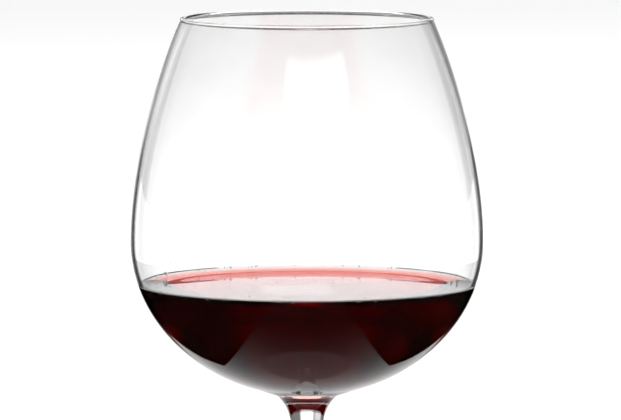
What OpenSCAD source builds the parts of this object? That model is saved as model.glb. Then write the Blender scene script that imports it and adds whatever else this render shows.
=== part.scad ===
// Balloon glass for red wine, with a pour of wine in it.
// The glass is one piece, drawn as half an outline that turns round the Z axis.
// The origin is the middle of the foot, on the surface that the glass stands on.

/* [Bowl] */
// Widest outer diameter of the bowl
bowl_d = 108; // [90:1:130]
// Outer diameter of the rim
rim_d = 77.2; // [64:0.4:86]
// Height from the widest ring up to the top of the rim
bowl_upper_h = 67.6; // [54:0.2:82]
// Height from the lowest point of the bowl's curve up to the widest ring
bowl_lower_h = 47.7; // [38:0.1:58]
// How far the wall stays upright above the widest ring before it turns in
bowl_shoulder = 30; // [20:1:40]
// Inward lean of the wall at the rim, in degrees
rim_lean = 28; // [15:1:35]
// Thickness of the bowl's wall
wall = 1.2; // [0.9:0.05:1.5]
// Diameter of the fire-polished bead along the rim
bead_d = 1.6; // [1.4:0.1:2.4]
// Thickness of the glass in the middle of the bowl's floor
floor_t = 3.4; // [2.6:0.1:5]
// Radius inside which the wall thickens towards the floor
floor_spread = 24; // [18:1:30]

/* [Stem] */
// Height from the table to the lowest point of the bowl's curve
stem_h = 96.7; // [80:0.1:120]
// Diameter of the stem at its narrowest
stem_d = 7.6; // [6:0.1:9]
// Diameter of the stem where its upper flare begins
stem_top_d = 9.4; // [9:0.1:11]
// Diameter of the ring where the upper flare meets the bowl
collar_d = 18.7; // [15:0.1:24]
// Height of the upper flare
collar_h = 11.7; // [9:0.1:15]

/* [Foot] */
// Diameter of the foot
foot_d = 86; // [70:1:104]
// Thickness of the foot's rounded edge
foot_edge_t = 2; // [1.6:0.1:3]
// Height at which the foot has narrowed to the stem
foot_flare_h = 30; // [22:1:38]
// Width of the ring that the foot rests on
rest_w = 2.4; // [1.5:0.1:4]
// Rise of the hollow underside in the middle
foot_hollow = 1.8; // [1:0.1:2.4]

/* [Wine] */
// Depth of the wine in the middle of the bowl
wine_depth = 29; // [16:0.2:40]
// Height that the wine climbs at the wall
meniscus_h = 1.8; // [1:0.1:2.6]
// Capillary length of the wine, which sets how far out from the wall the climb fades
capillary = 2.2; // [1.8:0.1:2.8]

/* [Hidden] */
$fn = 96;

bowl_r = bowl_d / 2;
belly_z = stem_h + bowl_lower_h;
rim_z = belly_z + bowl_upper_h;
bead_r = bead_d / 2;
bead_mid = [rim_d / 2 - bead_r, rim_z - bead_r];
rim_normal = [cos(rim_lean), sin(rim_lean)];
rim_reach = 4;
cut_over = 3;

collar_r = collar_d / 2;
collar_join = 2 * atan(collar_r / bowl_r);
foot_r = foot_d / 2;
edge_r = foot_edge_t / 2;
rest_outer_r = foot_r - edge_r;
rest_inner_r = rest_outer_r - rest_w;

floor_z = stem_h + floor_t;
wine_z = floor_z + wine_depth;
meniscus_fade = 0.02;
bowl_steps = 30;
curve_steps = 14;

// Evenly spaced points along a cubic Bezier curve, without its first point.
function bezier(p0, p1, p2, p3, steps) = [
    for (i = [1:steps])
        let (t = i / steps, u = 1 - t)
            u * u * u * p0 + 3 * u * u * t * p1 + 3 * u * t * t * p2 + t * t * t * p3
];

// Points on an arc from one angle to another.
function arc(middle, radius, from, to, steps) = [
    for (i = [0:steps])
        let (a = from + (to - from) * i / steps)
            middle + radius * [cos(a), sin(a)]
];

function unit(v) = v / norm(v);

// The lower half of the bowl is a quarter of an ellipse: 0 is its lowest point, 90 the widest ring.
function lower_point(a) = [bowl_r * sin(a), belly_z - bowl_lower_h * cos(a)];
function lower_normal(a) = unit([bowl_lower_h * sin(a), -bowl_r * cos(a)]);

// The wall is even down to floor_spread, then thickens towards the middle of the floor.
function lower_wall(a) =
    wall + (floor_t - wall) * pow(max(0, 1 - pow(lower_point(a).x / floor_spread, 2)), 2);

// The upper half leaves the widest ring upright and leans in to meet the middle of the rim's bead.
upper_end = bead_mid + wall / 2 * rim_normal;
upper_knots = [
    [bowl_r, belly_z],
    [bowl_r, belly_z + bowl_shoulder],
    upper_end + rim_reach * [sin(rim_lean), -cos(rim_lean)],
    upper_end
];
function upper_point(t) =
    let (u = 1 - t)
        u * u * u * upper_knots[0] + 3 * u * u * t * upper_knots[1]
        + 3 * u * t * t * upper_knots[2] + t * t * t * upper_knots[3];
function upper_slope(t) =
    let (u = 1 - t)
        u * u * (upper_knots[1] - upper_knots[0]) + 2 * u * t * (upper_knots[2] - upper_knots[1])
        + t * t * (upper_knots[3] - upper_knots[2]);
function upper_normal(t) = let (s = unit(upper_slope(t))) [s.y, -s.x];

// The foot: its hollow underside, the ring it rests on, the round edge and the top up to the stem.
foot_outline = concat(
    [[0, foot_hollow]],
    bezier(
        [0, foot_hollow], [rest_inner_r / 2, foot_hollow],
        [rest_inner_r * 3 / 4, foot_hollow / 4], [rest_inner_r, 0], curve_steps
    ),
    arc([rest_outer_r, edge_r], edge_r, -90, 86, curve_steps),
    bezier(
        [rest_outer_r, foot_edge_t], [stem_d * 1.6, foot_edge_t * 1.9],
        [stem_d / 2, foot_edge_t * 2.5], [stem_d / 2, foot_flare_h], 2 * curve_steps
    )
);

// The stem: a slow taper that widens upwards, then the short flare to the collar.
flare_z = stem_h - collar_h;
stem_outline = concat(
    bezier(
        [stem_d / 2, foot_flare_h], [stem_d / 2, (foot_flare_h + flare_z) / 2],
        [stem_top_d / 2 - collar_h / 30, flare_z - collar_h], [stem_top_d / 2, flare_z],
        curve_steps
    ),
    bezier(
        [stem_top_d / 2, flare_z], [stem_top_d / 2 + collar_h / 60, flare_z + collar_h * 0.38],
        [collar_r * 0.56, flare_z + collar_h * 0.66], [collar_r, stem_h],
        curve_steps
    )
);

// The bowl from the collar, where a straight tangent runs onto the ellipse, up to the rim's bead.
bowl_outline = concat(
    [
        for (i = [0:bowl_steps])
            lower_point(collar_join + (90 - collar_join) * i / bowl_steps)
    ],
    [for (i = [1:bowl_steps]) upper_point(i / bowl_steps)]
);

// The inside of the bowl, from the middle of its floor to just past the rim.
cavity_outline = concat(
    [
        for (i = [0:bowl_steps])
            let (a = 90 * i / bowl_steps)
                lower_point(a) - lower_wall(a) * lower_normal(a)
    ],
    [
        for (i = [1:bowl_steps])
            let (t = i / bowl_steps)
                upper_point(t) - wall * upper_normal(t)
    ],
    [upper_end - wall * rim_normal + cut_over * unit(upper_slope(1)), [0, rim_z + cut_over]]
);

// The wine's surface is level in the middle and climbs towards the wall, as a liquid does.
// meniscus_gap is how far from an upright wall the climb has fallen to a height h.
function acosh(x) = ln(x + sqrt(x * x - 1));
function climb(h) = acosh(2 * capillary / h) * capillary - sqrt(4 * capillary * capillary - h * h);
function meniscus_gap(h) = climb(h) - climb(meniscus_h);

contact_z = wine_z + meniscus_h;
contact_share = (contact_z - belly_z) / (bowl_lower_h - wall);
contact_r = (bowl_r - wall) * sqrt(1 - min(0, contact_share) * min(0, contact_share));
surface_outline = [
    for (i = [curve_steps:-1:0])
        let (h = meniscus_h * pow(meniscus_fade, i / curve_steps))
            [contact_r - meniscus_gap(h), wine_z + h]
];

module glass() {
    color([0.86, 0.9, 0.9, 0.35])
        rotate_extrude() {
            difference() {
                polygon(concat(foot_outline, stem_outline, bowl_outline, [[0, upper_end.y]]));
                polygon(cavity_outline);
            }
            translate(bead_mid) circle(d = bead_d);
        }
}

module wine() {
    color([0.22, 0.02, 0.04])
        rotate_extrude()
            intersection() {
                polygon(cavity_outline);
                polygon(concat(
                    [[0, wine_z], [0, 0], [bowl_r, 0], [bowl_r, contact_z]],
                    [for (i = [curve_steps:-1:0]) surface_outline[i]]
                ));
            }
}

glass();
wine();
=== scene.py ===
import math

import bmesh
import bpy
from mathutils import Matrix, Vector


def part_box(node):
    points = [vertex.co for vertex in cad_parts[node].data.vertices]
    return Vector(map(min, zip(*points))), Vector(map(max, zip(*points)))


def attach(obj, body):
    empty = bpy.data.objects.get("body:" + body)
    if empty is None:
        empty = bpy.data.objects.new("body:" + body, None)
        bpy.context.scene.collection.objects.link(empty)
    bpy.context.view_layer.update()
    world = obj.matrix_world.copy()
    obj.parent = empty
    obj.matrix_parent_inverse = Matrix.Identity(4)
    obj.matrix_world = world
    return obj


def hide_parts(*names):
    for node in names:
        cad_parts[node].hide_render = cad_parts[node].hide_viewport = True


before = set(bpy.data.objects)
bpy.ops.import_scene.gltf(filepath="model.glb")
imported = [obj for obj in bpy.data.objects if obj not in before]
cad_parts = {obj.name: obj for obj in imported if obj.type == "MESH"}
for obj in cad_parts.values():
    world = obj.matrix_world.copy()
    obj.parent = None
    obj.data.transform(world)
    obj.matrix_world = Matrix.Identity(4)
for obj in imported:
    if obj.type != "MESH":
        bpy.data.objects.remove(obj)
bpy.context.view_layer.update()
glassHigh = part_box("glass")[1]
wineLow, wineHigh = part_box("wine")
mm = 0.001
print("frame loaded, the glass is", round(glassHigh.z * 1000, 1), "mm high")


def addNode(tree, kind, values=None, **settings):
    # values go to the node's inputs, settings to the node itself
    node = tree.nodes.new(kind)
    for name, value in settings.items():
        setattr(node, name, value)
    for name, value in (values or {}).items():
        node.inputs[name].default_value = value
    return node


def socketsOf(tree, inputs, outputs):
    for name, kind in inputs:
        tree.interface.new_socket(name, in_out="INPUT", socket_type=kind)
    for name, kind in outputs:
        tree.interface.new_socket(name, in_out="OUTPUT", socket_type=kind)


def setInput(modifier, name, value):
    for item in modifier.node_group.interface.items_tree:
        if item.name == name and getattr(item, "in_out", "") == "INPUT":
            modifier[item.identifier] = value


def bake(piece):
    # the modifier's result becomes the piece's own mesh
    view = bpy.context.evaluated_depsgraph_get()
    mesh = bpy.data.meshes.new_from_object(piece.evaluated_get(view))
    painted = [material for material in mesh.materials if material]
    mesh.materials.clear()
    for material in painted:
        mesh.materials.append(material)
    for face in mesh.polygons:
        face.material_index = 0
    piece.modifiers.clear()
    piece.data = mesh
    mesh.name = piece.name
    return piece


def linked(name, mesh):
    piece = bpy.data.objects.new(name, mesh)
    bpy.context.scene.collection.objects.link(piece)
    return piece


cameraPlace = {
    "aside": 1.07 * mm,
    "distance": 1915 * mm,
    "aboveRim": 124.7 * mm,
    "lookDown": 5.47,       # degrees
    "lens": 366.5,          # millimetres, on a 36 mm sensor
}

camera = bpy.data.objects.new("Camera", bpy.data.cameras.new("Camera"))
bpy.context.scene.collection.objects.link(camera)
camera.data.lens = cameraPlace["lens"]
camera.data.sensor_width = 36
camera.data.clip_end = 100
camera.location = (
    cameraPlace["aside"],
    -cameraPlace["distance"],
    glassHigh.z + cameraPlace["aboveRim"],
)
camera.rotation_euler = (math.radians(90 - cameraPlace["lookDown"]), 0, 0)
bpy.context.scene.camera = camera
print("camera placed,", round(cameraPlace["distance"], 3), "m in front of the glass")


# the glass is turned from half a section, in which x is the radius and y the height
glassSizes = {
    "rimRadius": 38.6 * mm,
    "beadRadius": 0.8 * mm,
    "upperHeight": 67.6 * mm,   # from the widest ring to the rim
    "lowerHeight": 47.7 * mm,   # from the lowest point of the bowl to the widest ring
    "shoulder": 30 * mm,
    "rimLean": 28,              # degrees
    "rimReach": 4 * mm,
    "wall": 1.2 * mm,
    "floorSpread": 24 * mm,
    "collarRadius": 9.35 * mm,
    "collarHeight": 11.7 * mm,
    "stemTopRadius": 4.7 * mm,
    "stemRadius": 3.8 * mm,
    "footRadius": 43 * mm,
    "footEdge": 1 * mm,
    "footFlare": 30 * mm,
    "footHollow": 1.8 * mm,
    "restWidth": 2.4 * mm,
    "footPull": (3.2, 1.9, 2.5),        # how far out, and how high, the curve of the foot is drawn
    "collarPull": (0.38, 0.66, 0.56),   # two heights and a width that bend the collar's curve
    "segments": 224,
}

bowlRadius = glassHigh.x
rimTop = glassHigh.z
bellyZ = rimTop - glassSizes["upperHeight"]
bowlBottom = bellyZ - glassSizes["lowerHeight"]
floorThickness = wineLow.z - bowlBottom
wall = glassSizes["wall"]


def point(x, y):
    return Vector((x, y))


def bezier(p0, p1, p2, p3, steps):
    # the first point is left out, because the stretch before it ends there
    points = []
    for i in range(1, steps + 1):
        t = i / steps
        u = 1 - t
        points.append(p0 * u**3 + 3 * u * u * t * p1 + 3 * u * t * t * p2 + t**3 * p3)
    return points


def arc(middle, radius, start, end, steps):
    angles = [math.radians(start + (end - start) * i / steps) for i in range(steps + 1)]
    return [middle + radius * point(math.cos(a), math.sin(a)) for a in angles]


def lowerPoint(angle):
    # a quarter of an ellipse: 0 is the lowest point of the bowl and 90 its widest ring
    a = math.radians(angle)
    return point(bowlRadius * math.sin(a), bellyZ - glassSizes["lowerHeight"] * math.cos(a))


def lowerNormal(angle):
    a = math.radians(angle)
    return point(glassSizes["lowerHeight"] * math.sin(a), -bowlRadius * math.cos(a)).normalized()


def lowerWall(angle):
    inward = lowerPoint(angle).x / glassSizes["floorSpread"]
    return wall + (floorThickness - wall) * max(0, 1 - inward**2) ** 2


lean = math.radians(glassSizes["rimLean"])
rimNormal = point(math.cos(lean), math.sin(lean))
beadMiddle = point(
    glassSizes["rimRadius"] - glassSizes["beadRadius"], rimTop - glassSizes["beadRadius"]
)
upperEnd = beadMiddle + wall / 2 * rimNormal
upperKnots = [
    point(bowlRadius, bellyZ),
    point(bowlRadius, bellyZ + glassSizes["shoulder"]),
    upperEnd + glassSizes["rimReach"] * point(math.sin(lean), -math.cos(lean)),
    upperEnd,
]


def upperPoint(t):
    k0, k1, k2, k3 = upperKnots
    u = 1 - t
    return k0 * u**3 + 3 * u * u * t * k1 + 3 * u * t * t * k2 + t**3 * k3


def upperNormal(t):
    k0, k1, k2, k3 = upperKnots
    u = 1 - t
    slope = (u * u * (k1 - k0) + 2 * u * t * (k2 - k1) + t * t * (k3 - k2)).normalized()
    return point(slope.y, -slope.x)


def footOutline():
    s = glassSizes
    restOuter = s["footRadius"] - s["footEdge"]
    restInner = restOuter - s["restWidth"]
    edgeTop = 2 * s["footEdge"]
    hollow = point(0, s["footHollow"])
    outPull, lowPull, highPull = s["footPull"]
    return (
        [hollow]
        + bezier(
            hollow, point(restInner / 2, hollow.y),
            point(restInner * 3 / 4, hollow.y / 4), point(restInner, 0), 16,
        )
        + arc(point(restOuter, s["footEdge"]), s["footEdge"], -90, 86, 14)
        + bezier(
            point(restOuter, edgeTop), point(s["stemRadius"] * outPull, edgeTop * lowPull),
            point(s["stemRadius"], edgeTop * highPull), point(s["stemRadius"], s["footFlare"]), 40,
        )
    )


def stemOutline():
    s = glassSizes
    flareZ = bowlBottom - s["collarHeight"]
    height = s["collarHeight"]
    low = point(s["stemRadius"], s["footFlare"])
    top = point(s["stemTopRadius"], flareZ)
    tip = height / 60       # how far the outline leans where the stem meets the collar
    lowPull, highPull, widePull = s["collarPull"]
    return bezier(
        low, point(low.x, (low.y + flareZ) / 2),
        point(top.x - 2 * tip, flareZ - height), top, 16,
    ) + bezier(
        top, point(top.x + tip, flareZ + height * lowPull),
        point(s["collarRadius"] * widePull, flareZ + height * highPull),
        point(s["collarRadius"], bowlBottom), 20,
    )


def outsideOfBowl(steps):
    join = math.degrees(2 * math.atan(glassSizes["collarRadius"] / bowlRadius))
    lower = [lowerPoint(join + (90 - join) * i / steps) for i in range(steps + 1)]
    upper = [upperPoint(i / steps) for i in range(1, steps)]
    return lower + upper


def insideOfBowl(steps):
    # from the middle of the floor up to the rim
    angles = [90 * i / steps for i in range(steps + 1)]
    lower = [lowerPoint(a) - lowerWall(a) * lowerNormal(a) for a in angles]
    shares = [i / steps for i in range(1, steps)]
    upper = [upperPoint(t) - wall * upperNormal(t) for t in shares]
    return lower + upper


def rimBead():
    # the wall runs into the bead on both sides, where the bead is as wide as the wall
    meet = math.degrees(math.acos(min(1, wall / 2 / glassSizes["beadRadius"])))
    start = glassSizes["rimLean"] - meet
    end = glassSizes["rimLean"] + 180 + meet
    return arc(beadMiddle, glassSizes["beadRadius"], start, end, 24)


def glassOutline():
    return (
        footOutline()
        + stemOutline()
        + outsideOfBowl(60)
        + rimBead()
        + insideOfBowl(60)[::-1]
    )


def latheTree():
    # turns an outline that lies in the XZ plane round the Z axis
    tree = bpy.data.node_groups.new("Lathe", "GeometryNodeTree")
    socketsOf(
        tree,
        [
            ("Outline", "NodeSocketGeometry"),
            ("Segments", "NodeSocketInt"),
            ("Weld", "NodeSocketFloat"),
            ("Material", "NodeSocketMaterial"),
        ],
        [("Mesh", "NodeSocketGeometry")],
    )
    link = tree.links.new
    inlet = addNode(tree, "NodeGroupInput")
    outlet = addNode(tree, "NodeGroupOutput")
    count = addNode(tree, "GeometryNodeAttributeDomainSize", component="MESH")
    columns = addNode(tree, "ShaderNodeMath", {1: 1.0}, operation="ADD")
    grid = addNode(tree, "GeometryNodeMeshGrid")
    index = addNode(tree, "GeometryNodeInputIndex")
    divide = addNode(tree, "ShaderNodeMath", operation="DIVIDE")
    row = addNode(tree, "ShaderNodeMath", operation="FLOOR")
    column = addNode(tree, "ShaderNodeMath", operation="FLOORED_MODULO")
    share = addNode(tree, "ShaderNodeMath", operation="DIVIDE")
    angle = addNode(tree, "ShaderNodeMath", {1: -2 * math.pi}, operation="MULTIPLY")
    position = addNode(tree, "GeometryNodeInputPosition")
    sample = addNode(tree, "GeometryNodeSampleIndex", data_type="FLOAT_VECTOR", domain="POINT")
    turn = addNode(tree, "ShaderNodeVectorRotate", rotation_type="Z_AXIS")
    place = addNode(tree, "GeometryNodeSetPosition")
    weld = addNode(tree, "GeometryNodeMergeByDistance")
    smooth = addNode(tree, "GeometryNodeSetShadeSmooth")
    realize = addNode(tree, "GeometryNodeRealizeInstances")
    paint = addNode(tree, "GeometryNodeSetMaterial")

    link(inlet.outputs["Outline"], count.inputs["Geometry"])
    link(inlet.outputs["Segments"], columns.inputs[0])
    link(count.outputs["Point Count"], grid.inputs["Vertices X"])
    link(columns.outputs[0], grid.inputs["Vertices Y"])
    link(index.outputs[0], divide.inputs[0])
    link(columns.outputs[0], divide.inputs[1])
    link(divide.outputs[0], row.inputs[0])
    link(index.outputs[0], column.inputs[0])
    link(columns.outputs[0], column.inputs[1])
    link(column.outputs[0], share.inputs[0])
    link(inlet.outputs["Segments"], share.inputs[1])
    link(share.outputs[0], angle.inputs[0])
    link(inlet.outputs["Outline"], sample.inputs["Geometry"])
    link(position.outputs[0], sample.inputs["Value"])
    link(row.outputs[0], sample.inputs["Index"])
    link(sample.outputs[0], turn.inputs["Vector"])
    link(angle.outputs[0], turn.inputs["Angle"])
    link(grid.outputs["Mesh"], place.inputs["Geometry"])
    link(turn.outputs[0], place.inputs["Position"])
    link(place.outputs[0], weld.inputs["Geometry"])
    link(inlet.outputs["Weld"], weld.inputs["Distance"])
    link(weld.outputs[0], smooth.inputs["Geometry"])
    link(smooth.outputs[0], realize.inputs[0])
    link(realize.outputs[0], paint.inputs["Geometry"])
    link(inlet.outputs["Material"], paint.inputs["Material"])
    link(paint.outputs[0], outlet.inputs["Mesh"])
    return tree


def turned(name, outline, segments, material):
    mesh = bpy.data.meshes.new(name)
    edges = [(i, i + 1) for i in range(len(outline) - 1)]
    mesh.from_pydata([(p.x, 0, p.y) for p in outline], edges, [])
    piece = linked(name, mesh)
    modifier = piece.modifiers.new("Lathe", "NODES")
    modifier.node_group = lathe
    setInput(modifier, "Segments", segments)
    setInput(modifier, "Weld", 0.002 * mm)
    setInput(modifier, "Material", material)
    bake(piece)
    solid = bmesh.new()
    solid.from_mesh(piece.data)
    volume = solid.calc_volume(signed=True) * 1e6
    openEdges = sum(not edge.is_manifold for edge in solid.edges)
    solid.free()
    print(name, "turned,", len(piece.data.polygons), "faces,", end=" ")
    print(round(volume, 2), "ml,", openEdges, "open edges")
    return piece


lathe = latheTree()


# waves are long and shallow in the glass, and finer on the liquid
finishes = {
    "glassIor": 1.5,
    "wineIor": 1.34,
    "glass": {"Wave scale": 45.0, "Wave strength": 0.25, "Film": 0.1},
    "wetted": {"Wave scale": 45.0, "Wave strength": 0.25, "Film": 0.0},
    "wine": {"Wave scale": 60.0, "Wave strength": 0.03, "Film": 0.02},
    "drop": {"Wave scale": 900.0, "Wave strength": 0.1, "Film": 0.1},
    "filmColor": (0.72, 0.7, 0.68, 1),
    # the next three were chosen and aren't measured properties of wine or glass
    "wettedGloss": 0.4,         # how much of its full gloss the wetted wall keeps
    "stain": (0.938, 0.1, 0.0, 1),
    "stainDensity": 750,
    "wettedBelow": 0.5 * mm,    # how far under the wine's lowest point a wetted face may lie
}


def blownSurfaceGroup():
    # the slow waves of blown glass, and the faint film that handling and drying leave on it
    tree = bpy.data.node_groups.new("Blown surface", "ShaderNodeTree")
    socketsOf(
        tree,
        [
            ("Wave scale", "NodeSocketFloat"),
            ("Wave strength", "NodeSocketFloat"),
            ("Film", "NodeSocketFloat"),
        ],
        [("Color", "NodeSocketColor"), ("Normal", "NodeSocketVector")],
    )
    link = tree.links.new
    inlet = addNode(tree, "NodeGroupInput")
    outlet = addNode(tree, "NodeGroupOutput")
    where = addNode(tree, "ShaderNodeTexCoord")
    stretch = addNode(tree, "ShaderNodeVectorMath", {1: (1.0, 1.0, 0.35)}, operation="MULTIPLY")
    waves = addNode(tree, "ShaderNodeTexNoise", {"Detail": 1.0, "Roughness": 0.4})
    bump = addNode(tree, "ShaderNodeBump", {"Distance": 0.1 * mm})
    smudge = addNode(tree, "ShaderNodeTexNoise", {"Scale": 90.0, "Detail": 5.0, "Roughness": 0.7})
    patch = addNode(tree, "ShaderNodeMapRange", {"From Min": 0.45, "From Max": 0.8})
    amount = addNode(tree, "ShaderNodeMath", operation="MULTIPLY")
    tint = addNode(tree, "ShaderNodeMix", data_type="RGBA")
    tint.inputs["A"].default_value = (1, 1, 1, 1)
    tint.inputs["B"].default_value = finishes["filmColor"]
    link(where.outputs["Object"], stretch.inputs[0])
    link(stretch.outputs[0], waves.inputs["Vector"])
    link(inlet.outputs["Wave scale"], waves.inputs["Scale"])
    link(waves.outputs["Fac"], bump.inputs["Height"])
    link(inlet.outputs["Wave strength"], bump.inputs["Strength"])
    link(where.outputs["Object"], smudge.inputs["Vector"])
    link(smudge.outputs["Fac"], patch.inputs["Value"])
    link(patch.outputs["Result"], amount.inputs[0])
    link(inlet.outputs["Film"], amount.inputs[1])
    link(amount.outputs[0], tint.inputs["Factor"])
    link(tint.outputs["Result"], outlet.inputs["Color"])
    link(bump.outputs["Normal"], outlet.inputs["Normal"])
    return tree


blownSurface = blownSurfaceGroup()


def clearMaterial(name, ior, finish):
    material = bpy.data.materials.new(name)
    material.use_nodes = True
    tree = material.node_tree
    shader = tree.nodes["Principled BSDF"]
    surface = addNode(tree, "ShaderNodeGroup", node_tree=blownSurface)
    for key, value in finishes[finish].items():
        surface.inputs[key].default_value = value
    tree.links.new(surface.outputs["Color"], shader.inputs["Base Color"])
    tree.links.new(surface.outputs["Normal"], shader.inputs["Normal"])
    shader.inputs["Roughness"].default_value = 0
    shader.inputs["IOR"].default_value = ior
    shader.inputs["Transmission Weight"].default_value = 1
    return material


def wineMaterial(name):
    # the index is the wine's on its free surface, and 1 where it lies inside the glass's wall
    material = clearMaterial(name, finishes["wineIor"], "wine")
    tree = material.node_tree
    free = addNode(tree, "ShaderNodeAttribute", attribute_name="freeSurface")
    rise = {1: finishes["wineIor"] - 1, 2: 1.0}
    index = addNode(tree, "ShaderNodeMath", rise, operation="MULTIPLY_ADD")
    tree.links.new(free.outputs["Fac"], index.inputs[0])
    tree.links.new(index.outputs[0], tree.nodes["Principled BSDF"].inputs["IOR"])
    stain = addNode(tree, "ShaderNodeVolumeAbsorption")
    stain.inputs["Color"].default_value = finishes["stain"]
    stain.inputs["Density"].default_value = finishes["stainDensity"]
    tree.links.new(stain.outputs[0], tree.nodes["Material Output"].inputs["Volume"])
    return material


clearGlass = clearMaterial("clearGlass", finishes["glassIor"], "glass")
wettedGlass = clearMaterial("wettedGlass", finishes["glassIor"] / finishes["wineIor"], "wetted")
glass = turned("wineglass", glassOutline(), glassSizes["segments"], clearGlass)
gloss = finishes["wettedGloss"]
wettedGlass.node_tree.nodes["Principled BSDF"].inputs["Specular Tint"].default_value = (
    gloss, gloss, gloss, 1
)
glass.data.materials.append(wettedGlass)
wettedFrom = wineLow.z - finishes["wettedBelow"]
for face in glass.data.polygons:
    if face.normal.z > 0 and wettedFrom < face.center.z < wineHigh.z:
        face.material_index = 1
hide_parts("glass")
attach(glass, "root")


wineSizes = {
    "climb": 1.8 * mm,         # how high the wine stands at the wall
    "capillary": 2.2 * mm,     # the length that sets how fast the climb dies away
    "intoWall": 0.15 * mm,     # how far the wine reaches into the glass, so that no gap shows
    "edgeIntoWall": 0.9,       # the share of that at the wine's upper edge
    "wallStop": 0.2 * mm,      # how far under that edge the points along the wall end
    "curveSteps": 48,
    "curveEnd": 0.004,         # the share of the climb at which the curve runs out level
    "levelSteps": 12,
    "segments": 224,
}


def climbShape(height):
    c = wineSizes["capillary"]
    return c * math.acosh(2 * c / height) - math.sqrt(4 * c * c - height * height)


def innerRadiusAt(height):
    # halves a range of angles until the inside of the wall is at this height
    low, high = 20.0, 90.0
    for _ in range(40):
        middle = (low + high) / 2
        p = lowerPoint(middle) - lowerWall(middle) * lowerNormal(middle)
        if p.y < height:
            low = middle
        else:
            high = middle
    return p.x


def wineOutline():
    # under the wall first, then the surface from the wall to the middle
    into = wineSizes["intoWall"]
    contactZ = wineHigh.z
    levelZ = contactZ - wineSizes["climb"]
    points = []
    for i in range(91):
        p = lowerPoint(i) - (lowerWall(i) - into) * lowerNormal(i)
        if p.y < contactZ - wineSizes["wallStop"]:
            points.append(p)
    contactR = innerRadiusAt(contactZ)
    points.append(point(contactR + into * wineSizes["edgeIntoWall"], contactZ))
    steps = wineSizes["curveSteps"]
    for i in range(steps + 1):
        height = wineSizes["climb"] * wineSizes["curveEnd"] ** (i / steps)
        gap = climbShape(height) - climbShape(wineSizes["climb"])
        points.append(point(contactR - gap, levelZ + height))
    last = points[-1].x
    steps = wineSizes["levelSteps"]
    points += [point(last * (1 - i / steps), levelZ) for i in range(1, steps + 1)]
    return points


wine = turned("redwine", wineOutline(), wineSizes["segments"], wineMaterial("redWine"))
mark = wine.data.attributes.new("freeSurface", "FLOAT", "FACE")
for face in wine.data.polygons:
    mark.data[face.index].value = 1.0 if face.normal.z > 0 else 0.0
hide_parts("wine")
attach(wine, "root")


beadShape = {
    "lowPower": 1.6,        # above 1, more of the beads lie low down
    "smallPower": 2.5,      # above 1, more of them are small
    "height": 1.15,         # as a share of the width
}


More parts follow.
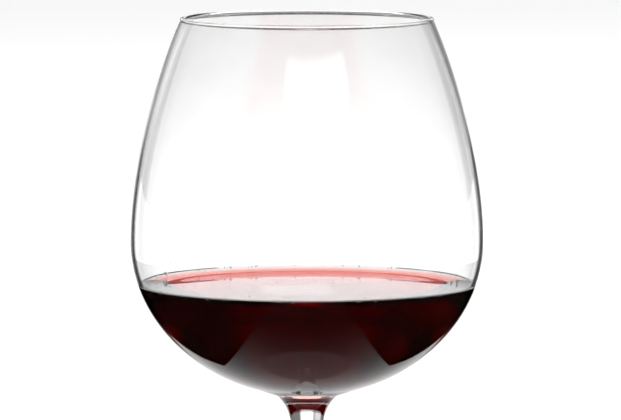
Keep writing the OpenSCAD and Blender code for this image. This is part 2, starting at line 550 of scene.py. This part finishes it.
def beadTree():
    # scatters small beads round the inside of the bowl, an ellipse up to its widest ring
    tree = bpy.data.node_groups.new("Beads", "GeometryNodeTree")
    numbers = [
        "Height", "Spread", "Widest height", "Widest radius", "Depth", "Inset",
        "Smallest", "Largest", "Flatness",
    ]
    socketsOf(
        tree,
        [("Count", "NodeSocketInt"), ("Seed", "NodeSocketInt"), ("Material", "NodeSocketMaterial")]
        + [(name, "NodeSocketFloat") for name in numbers],
        [("Mesh", "NodeSocketGeometry")],
    )
    link = tree.links.new
    inlet = addNode(tree, "NodeGroupInput")
    outlet = addNode(tree, "NodeGroupOutput")

    def chance(low, high, step):
        # one number for each bead
        pick = addNode(tree, "FunctionNodeRandomValue", data_type="FLOAT")
        pick.inputs[2].default_value = low
        pick.inputs[3].default_value = high
        seed = addNode(tree, "ShaderNodeMath", {1: float(step)}, operation="ADD")
        link(inlet.outputs["Seed"], seed.inputs[0])
        link(seed.outputs[0], pick.inputs["Seed"])
        return pick.outputs[1]

    def reckoned(operation, a, b):
        # one step of arithmetic, on fields or plain numbers
        node = addNode(tree, "ShaderNodeMath", operation=operation)
        for slot, value in ((0, a), (1, b)):
            if isinstance(value, (int, float)):
                node.inputs[slot].default_value = value
            else:
                link(value, node.inputs[slot])
        return node.outputs[0]

    turn = chance(0, 2 * math.pi, 0)
    up = reckoned("POWER", chance(0, 1, 1), beadShape["lowPower"])
    size = reckoned("POWER", chance(0, 1, 2), beadShape["smallPower"])
    z = reckoned("ADD", inlet.outputs["Height"], reckoned("MULTIPLY", up, inlet.outputs["Spread"]))
    below = reckoned("MAXIMUM", reckoned("SUBTRACT", inlet.outputs["Widest height"], z), 0)
    share = reckoned("POWER", reckoned("DIVIDE", below, inlet.outputs["Depth"]), 2)
    radius = reckoned(
        "MULTIPLY", inlet.outputs["Widest radius"],
        reckoned("SQRT", reckoned("SUBTRACT", 1, share), 0),
    )
    reach = reckoned("SUBTRACT", radius, inlet.outputs["Inset"])
    place = addNode(tree, "ShaderNodeCombineXYZ")
    link(reckoned("MULTIPLY", reach, reckoned("COSINE", turn, 0)), place.inputs["X"])
    link(reckoned("MULTIPLY", reach, reckoned("SINE", turn, 0)), place.inputs["Y"])
    link(z, place.inputs["Z"])
    points = addNode(tree, "GeometryNodePoints")
    link(inlet.outputs["Count"], points.inputs["Count"])
    link(place.outputs[0], points.inputs["Position"])
    width = addNode(tree, "ShaderNodeMapRange")
    link(size, width.inputs["Value"])
    link(inlet.outputs["Smallest"], width.inputs["To Min"])
    link(inlet.outputs["Largest"], width.inputs["To Max"])
    scale = addNode(tree, "ShaderNodeCombineXYZ")
    link(reckoned("MULTIPLY", width.outputs[0], inlet.outputs["Flatness"]), scale.inputs["X"])
    link(width.outputs[0], scale.inputs["Y"])
    link(reckoned("MULTIPLY", width.outputs[0], beadShape["height"]), scale.inputs["Z"])
    facing = addNode(tree, "ShaderNodeCombineXYZ")
    link(turn, facing.inputs["Z"])
    ball = addNode(tree, "GeometryNodeMeshUVSphere", {"Segments": 8, "Rings": 6, "Radius": 1.0})
    spread = addNode(tree, "GeometryNodeInstanceOnPoints")
    link(points.outputs[0], spread.inputs["Points"])
    link(ball.outputs["Mesh"], spread.inputs["Instance"])
    link(facing.outputs[0], spread.inputs["Rotation"])
    link(scale.outputs[0], spread.inputs["Scale"])
    realize = addNode(tree, "GeometryNodeRealizeInstances")
    smooth = addNode(tree, "GeometryNodeSetShadeSmooth")
    paint = addNode(tree, "GeometryNodeSetMaterial")
    link(spread.outputs[0], realize.inputs[0])
    link(realize.outputs[0], smooth.inputs["Geometry"])
    link(smooth.outputs[0], paint.inputs["Geometry"])
    link(inlet.outputs["Material"], paint.inputs["Material"])
    link(paint.outputs[0], outlet.inputs["Mesh"])
    return tree


beads = beadTree()


def scattered(name, values, material):
    piece = linked(name, bpy.data.meshes.new(name))
    modifier = piece.modifiers.new("Beads", "NODES")
    modifier.node_group = beads
    for key, value in values.items():
        setInput(modifier, key, value)
    setInput(modifier, "Material", material)
    bake(piece)
    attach(piece, "root")
    print(name, "scattered,", len(piece.data.polygons), "faces")
    return piece


# bubbles lie along the edge of the wine, and drops hang on the wall above it
innerBowl = {
    "Widest height": bellyZ, "Widest radius": bowlRadius - wall,
    "Depth": glassSizes["lowerHeight"] - wall,
}
bubbleSizes = {
    "Count": 110, "Seed": 7, "Height": wineHigh.z - 0.05 * mm, "Spread": 0.3 * mm,
    "Inset": 0.3 * mm, "Smallest": 0.12 * mm, "Largest": 0.5 * mm, "Flatness": 0.95,
}
dropSizes = {
    "Count": 420, "Seed": 3, "Height": wineHigh.z + 0.8 * mm, "Spread": 17 * mm,
    "Inset": 0.0, "Smallest": 0.05 * mm, "Largest": 0.2 * mm, "Flatness": 0.6,
}
clearDrop = clearMaterial("clearDrop", finishes["wineIor"], "drop")
scattered("bubbles", innerBowl | bubbleSizes, clearDrop)
scattered("drops", innerBowl | dropSizes, clearDrop)


# the stage is a large pale floor, a soft sky, and cards that only the glass and the wine see, which
# paint reflections and shade into them
stageSizes = {
    "floor": 60.0,
    "floorTone": 0.86,
    "floorGrain": 0.006,
    "fill": 0.47,               # brightness that light without a shadow gives the floor
    "softShadow": 0.14,         # and that light with one gives it
    "overheadAngle": 60,        # degrees across
    "skyLow": 0.22,             # brightness of the sky above the horizon
    "skyHigh": 0.25,            # and overhead, where only gloss and glass see it
    "skyFade": (38, 52),        # degrees up between which it turns from one to the other
    "skySeen": 0.95,            # what the camera sees of it
    "cardAside": 75 * mm,       # the black cards to either side of the glass, seen only in gloss: painted dark reflections
    "cardBack": 88 * mm,
    "cardHeight": 132 * mm,
    "cardFront": 600 * mm,
    "sheetDark": 0.03,          # painted reflection: a glowing sheet that only gloss sees, this dark for the floor in front
    "sheetLight": 1.2,          # and this light for the floor behind
    "sheetFrom": -105 * mm,     # where it starts to turn from one to the other, and where it has
    "sheetTo": 215 * mm,
    "sheetReach": (3, -9, 0.6), # aside, in front and behind, in metres
    "sheetHeight": 0.5 * mm,
    # degrees aside between which the card's painted shade starts, and stops again
    "shadeStart": (14, 19),
    "shadeStop": (28, 36),
    "shadeDark": 0.04,
    "shadeBehind": (250 * mm, 320 * mm),    # how far behind the glass that darkness starts
    "shadeEnd": 29,             # metres behind
    "shadeHeight": 0.7 * mm,
    "underFoot": (0.82, 0.35),  # painted light: brightness of a glowing card under the foot where the glass's shadow falls, seen straight and after a mirror
    "underFootReach": 60 * mm,
    "underFootHeight": 0.05 * mm,
}


def floorMaterial():
    material = bpy.data.materials.new("paleFloor")
    material.use_nodes = True
    tree = material.node_tree
    shader = tree.nodes["Principled BSDF"]
    tone, change = stageSizes["floorTone"], stageSizes["floorGrain"]
    where = addNode(tree, "ShaderNodeTexCoord")
    grain = addNode(tree, "ShaderNodeTexNoise", {"Scale": 900.0, "Detail": 2.0})
    spread = addNode(tree, "ShaderNodeMapRange", {"To Min": tone - change, "To Max": tone + change})
    tree.links.new(where.outputs["Object"], grain.inputs["Vector"])
    tree.links.new(grain.outputs["Fac"], spread.inputs["Value"])
    tree.links.new(spread.outputs["Result"], shader.inputs["Base Color"])
    shader.inputs["Roughness"].default_value = 0.9
    shader.inputs["Specular IOR Level"].default_value = 0
    return material


def cardMaterial(name, dark, bright, start, end):
    # a card that glows from dark to light along Y
    material = bpy.data.materials.new(name)
    material.use_nodes = True
    tree = material.node_tree
    tree.nodes.remove(tree.nodes["Principled BSDF"])
    where = addNode(tree, "ShaderNodeTexCoord")
    parts = addNode(tree, "ShaderNodeSeparateXYZ")
    ramp = addNode(tree, "ShaderNodeMapRange", {
        "From Min": start, "From Max": end, "To Min": dark, "To Max": bright,
    })
    ramp.interpolation_type = "SMOOTHSTEP"
    light = addNode(tree, "ShaderNodeEmission")
    tree.links.new(where.outputs["Object"], parts.inputs[0])
    tree.links.new(parts.outputs["Y"], ramp.inputs["Value"])
    tree.links.new(ramp.outputs["Result"], light.inputs["Strength"])
    tree.links.new(light.outputs[0], tree.nodes["Material Output"].inputs["Surface"])
    return material


def flatCard(name, corners, material, through):
    mesh = bpy.data.meshes.new(name)
    mesh.from_pydata(corners, [], [tuple(range(len(corners)))])
    mesh.materials.append(material)
    card = linked(name, mesh)
    card.visible_camera = False
    card.visible_diffuse = False
    card.visible_shadow = False
    card.visible_transmission = through
    return card


bpy.ops.mesh.primitive_plane_add(size=stageSizes["floor"], location=(0, 0, 0))
floor = bpy.context.object
floor.name = "floor"
floor.data.materials.append(floorMaterial())

# black cards that only gloss sees: painted dark reflections to either side in the glass and the wine
blackCard = cardMaterial("blackCard", 0, 0, -1, 1)
for side in (-1, 1):
    x = side * stageSizes["cardAside"]
    front, back, top = -stageSizes["cardFront"], stageSizes["cardBack"], stageSizes["cardHeight"]
    corners = [(x, front, 0), (x, back, 0), (x, back, top), (x, front, top)]
    flatCard(f"sideCard{side}", corners, blackCard, False)

# a glowing sheet that only gloss sees: a painted reflection of the floor, dark in front and light
# behind
sheet = cardMaterial(
    "paintedFloorReflection", stageSizes["sheetDark"], stageSizes["sheetLight"],
    stageSizes["sheetFrom"], stageSizes["sheetTo"],
)
aside, front, back = stageSizes["sheetReach"]
z = stageSizes["sheetHeight"]
corners = [(-aside, front, z), (aside, front, z), (aside, back, z), (-aside, back, z)]
flatCard("paintedReflectionSheet", corners, sheet, False)


def shadeMaterial():
    # a glowing card that only the glass sees, bright like the floor behind, with a painted dark strip
    # to each side for the dark lines along the edges of the bowl
    material = cardMaterial("paintedEdgeShade", stageSizes["sheetLight"], stageSizes["shadeDark"], 0, 1)
    tree = material.node_tree
    parts = tree.nodes["Separate XYZ"]
    aside = addNode(tree, "ShaderNodeMath", operation="ABSOLUTE")
    turn = addNode(tree, "ShaderNodeMath", operation="ARCTAN2")
    degrees = addNode(tree, "ShaderNodeMath", operation="DEGREES")
    tree.links.new(parts.outputs["X"], aside.inputs[0])
    tree.links.new(aside.outputs[0], turn.inputs[0])
    tree.links.new(parts.outputs["Y"], turn.inputs[1])
    tree.links.new(turn.outputs[0], degrees.inputs[0])
    share = None
    for source, limits, low, high in (
        (degrees.outputs[0], stageSizes["shadeStart"], 0, 1),
        (degrees.outputs[0], stageSizes["shadeStop"], 1, 0),
        (parts.outputs["Y"], stageSizes["shadeBehind"], 0, 1),
    ):
        fade = addNode(tree, "ShaderNodeMapRange", {
            "From Min": limits[0], "From Max": limits[1], "To Min": low, "To Max": high,
        })
        fade.interpolation_type = "SMOOTHSTEP"
        tree.links.new(source, fade.inputs["Value"])
        if share:
            both = addNode(tree, "ShaderNodeMath", operation="MULTIPLY")
            tree.links.new(share, both.inputs[0])
            tree.links.new(fade.outputs["Result"], both.inputs[1])
            share = both.outputs[0]
        else:
            share = fade.outputs["Result"]
    tree.links.new(share, tree.nodes["Map Range"].inputs["Value"])
    return material


shade = shadeMaterial()
inner = math.tan(math.radians(stageSizes["shadeStart"][0]))
outer = math.tan(math.radians(stageSizes["shadeStop"][1]))
front, back = stageSizes["shadeBehind"][0], stageSizes["shadeEnd"]
z = stageSizes["shadeHeight"]
for side in (-1, 1):
    corners = [
        (side * front * inner, front, z), (side * front * outer, front, z),
        (side * back * outer, back, z), (side * back * inner, back, z),
    ]
    flatCard(f"sideShade{side}", corners, shade, True)

# painted light: a card that only the glass sees glows under the foot in place of the shadowed floor,
# and dimmer when seen after a mirror
direct, mirrored = stageSizes["underFoot"]
underFoot = cardMaterial("glowUnderFoot", direct, direct, -1, 1)
path = addNode(underFoot.node_tree, "ShaderNodeLightPath")
once = addNode(underFoot.node_tree, "ShaderNodeMapRange", {"To Min": direct, "To Max": mirrored})
underFoot.node_tree.links.new(path.outputs["Glossy Depth"], once.inputs["Value"])
underFoot.node_tree.links.new(
    once.outputs["Result"], underFoot.node_tree.nodes["Emission"].inputs["Strength"]
)
reach, z = stageSizes["underFootReach"], stageSizes["underFootHeight"]
corners = [(-reach, -reach, z), (reach, -reach, z), (reach, reach, z), (-reach, reach, z)]
flatCard("underFoot", corners, underFoot, True).visible_glossy = False


def softWindowGroup():
    # how much of a soft-edged window in the sky a direction sees, all in degrees
    tree = bpy.data.node_groups.new("Soft window", "ShaderNodeTree")
    socketsOf(
        tree,
        [
            ("Azimuth", "NodeSocketFloat"),
            ("Elevation", "NodeSocketFloat"),
            ("Half width", "NodeSocketFloat"),
            ("Half height", "NodeSocketFloat"),
            ("Side blur", "NodeSocketFloat"),
            ("Height blur", "NodeSocketFloat"),
        ],
        [("Share", "NodeSocketFloat")],
    )
    link = tree.links.new
    inlet = addNode(tree, "NodeGroupInput")
    outlet = addNode(tree, "NodeGroupOutput")
    both = addNode(tree, "ShaderNodeMath", operation="MULTIPLY")
    for axis, size, blur, slot in (
        ("Azimuth", "Half width", "Side blur", 0), ("Elevation", "Half height", "Height blur", 1),
    ):
        away = addNode(tree, "ShaderNodeMath", operation="ABSOLUTE")
        inner = addNode(tree, "ShaderNodeMath", operation="SUBTRACT")
        outer = addNode(tree, "ShaderNodeMath", operation="ADD")
        fade = addNode(tree, "ShaderNodeMapRange", {"To Min": 1.0, "To Max": 0.0})
        fade.interpolation_type = "SMOOTHSTEP"
        link(inlet.outputs[axis], away.inputs[0])
        link(inlet.outputs[size], inner.inputs[0])
        link(inlet.outputs[blur], inner.inputs[1])
        link(inlet.outputs[size], outer.inputs[0])
        link(inlet.outputs[blur], outer.inputs[1])
        link(away.outputs[0], fade.inputs["Value"])
        link(inner.outputs[0], fade.inputs["From Min"])
        link(outer.outputs[0], fade.inputs["From Max"])
        link(fade.outputs["Result"], both.inputs[slot])
    link(both.outputs[0], outlet.inputs["Share"])
    return tree


skyWindows = {
    "backGlow": {
        "azimuth": 0, "elevation": 21, "halfWidth": 14, "halfHeight": 16.5,
        "sideBlur": 4, "heightBlur": 1.5, "brightness": 1.4,
    },
    "sideGlow": {
        "azimuth": -30, "elevation": 16, "halfWidth": 12, "halfHeight": 12,
        "sideBlur": 5, "heightBlur": 5, "brightness": 0.6,
    },
    "frontSoftbox": {
        "azimuth": 172, "elevation": 32, "halfWidth": 26, "halfHeight": 4,
        "sideBlur": 3, "heightBlur": 2, "brightness": 2.6,
    },
}


def studioSky():
    world = bpy.data.worlds.new("studio")
    bpy.context.scene.world = world
    world.use_nodes = True
    tree = world.node_tree
    link = tree.links.new
    window = softWindowGroup()
    background = tree.nodes["Background"]
    background.inputs["Color"].default_value = (1, 1, 1, 1)
    where = addNode(tree, "ShaderNodeTexCoord")
    parts = addNode(tree, "ShaderNodeSeparateXYZ")
    rise = addNode(tree, "ShaderNodeMath", operation="ARCSINE")
    turn = addNode(tree, "ShaderNodeMath", operation="ARCTAN2")
    riseDegrees = addNode(tree, "ShaderNodeMath", operation="DEGREES")
    turnDegrees = addNode(tree, "ShaderNodeMath", operation="DEGREES")
    haze = addNode(tree, "ShaderNodeMapRange", {
        "From Min": stageSizes["skyFade"][0], "From Max": stageSizes["skyFade"][1],
        "To Min": stageSizes["skyLow"],
    })
    haze.interpolation_type = "SMOOTHSTEP"
    link(where.outputs["Generated"], parts.inputs[0])
    link(parts.outputs["Z"], rise.inputs[0])
    link(parts.outputs["X"], turn.inputs[0])
    link(parts.outputs["Y"], turn.inputs[1])
    link(rise.outputs[0], riseDegrees.inputs[0])
    link(turn.outputs[0], turnDegrees.inputs[0])
    link(riseDegrees.outputs[0], haze.inputs["Value"])
    total = haze.outputs["Result"]
    for values in skyWindows.values():
        shift = addNode(tree, "ShaderNodeMath", {1: float(values["azimuth"])}, operation="SUBTRACT")
        wrap = addNode(tree, "ShaderNodeMath", {1: 180.0, 2: -180.0}, operation="WRAP")
        climb = addNode(tree, "ShaderNodeMath", {1: float(values["elevation"])}, operation="SUBTRACT")
        share = addNode(tree, "ShaderNodeGroup", node_tree=window)
        share.inputs["Half width"].default_value = values["halfWidth"]
        share.inputs["Half height"].default_value = values["halfHeight"]
        share.inputs["Side blur"].default_value = values["sideBlur"]
        share.inputs["Height blur"].default_value = values["heightBlur"]
        glow = addNode(tree, "ShaderNodeMath", {1: values["brightness"]}, operation="MULTIPLY_ADD")
        link(turnDegrees.outputs[0], shift.inputs[0])
        link(shift.outputs[0], wrap.inputs[0])
        link(riseDegrees.outputs[0], climb.inputs[0])
        link(wrap.outputs[0], share.inputs["Azimuth"])
        link(climb.outputs[0], share.inputs["Elevation"])
        link(share.outputs["Share"], glow.inputs[0])
        link(total, glow.inputs[2])
        total = glow.outputs[0]
    path = addNode(tree, "ShaderNodeLightPath")
    seen = addNode(tree, "ShaderNodeMix", {"B": stageSizes["skySeen"]})
    link(path.outputs["Is Camera Ray"], seen.inputs["Factor"])
    link(total, seen.inputs["A"])
    link(seen.outputs["Result"], background.inputs["Strength"])
    top = addNode(tree, "ShaderNodeMix", {"A": stageSizes["skyHigh"], "B": stageSizes["skyLow"]})
    link(path.outputs["Is Diffuse Ray"], top.inputs["Factor"])
    link(top.outputs["Result"], haze.inputs["To Max"])


studioSky()


def overhead(name, brightness, shadow):
    # light from above that gives the floor this brightness and isn't seen itself
    light = bpy.data.lights.new(name, "SUN")
    light.energy = brightness * math.pi / stageSizes["floorTone"]
    light.angle = math.radians(stageSizes["overheadAngle"])
    light.use_shadow = shadow
    lamp = linked(name, light)
    lamp.visible_glossy = False
    lamp.visible_transmission = False
    lamp.visible_camera = False


overhead("overheadFill", stageSizes["fill"], False)
overhead("overheadSoft", stageSizes["softShadow"], True)

tableSizes = {"width": 1.2, "depth": 2.0, "watts": 12, "place": (0.25, 1.3, 1.2)}

tableLight = bpy.data.lights.new("overTable", "AREA")
tableLight.shape = "RECTANGLE"
tableLight.size, tableLight.size_y = tableSizes["width"], tableSizes["depth"]
tableLight.energy = tableSizes["watts"]
tableLamp = linked("overTable", tableLight)
tableLamp.location = tableSizes["place"]
tableLamp.visible_camera = False
tableLamp.visible_glossy = False
tableLamp.visible_transmission = False
print("stage lit,", len(bpy.data.lights), "lamps and", len(skyWindows), "windows in the sky")

scene = bpy.context.scene
scene.view_settings.view_transform = "Standard"
# light meets many faces of glass and wine before it gets out
scene.cycles.max_bounces = 40
scene.cycles.transmission_bounces = 32
scene.cycles.glossy_bounces = 16
scene.cycles.volume_bounces = 4
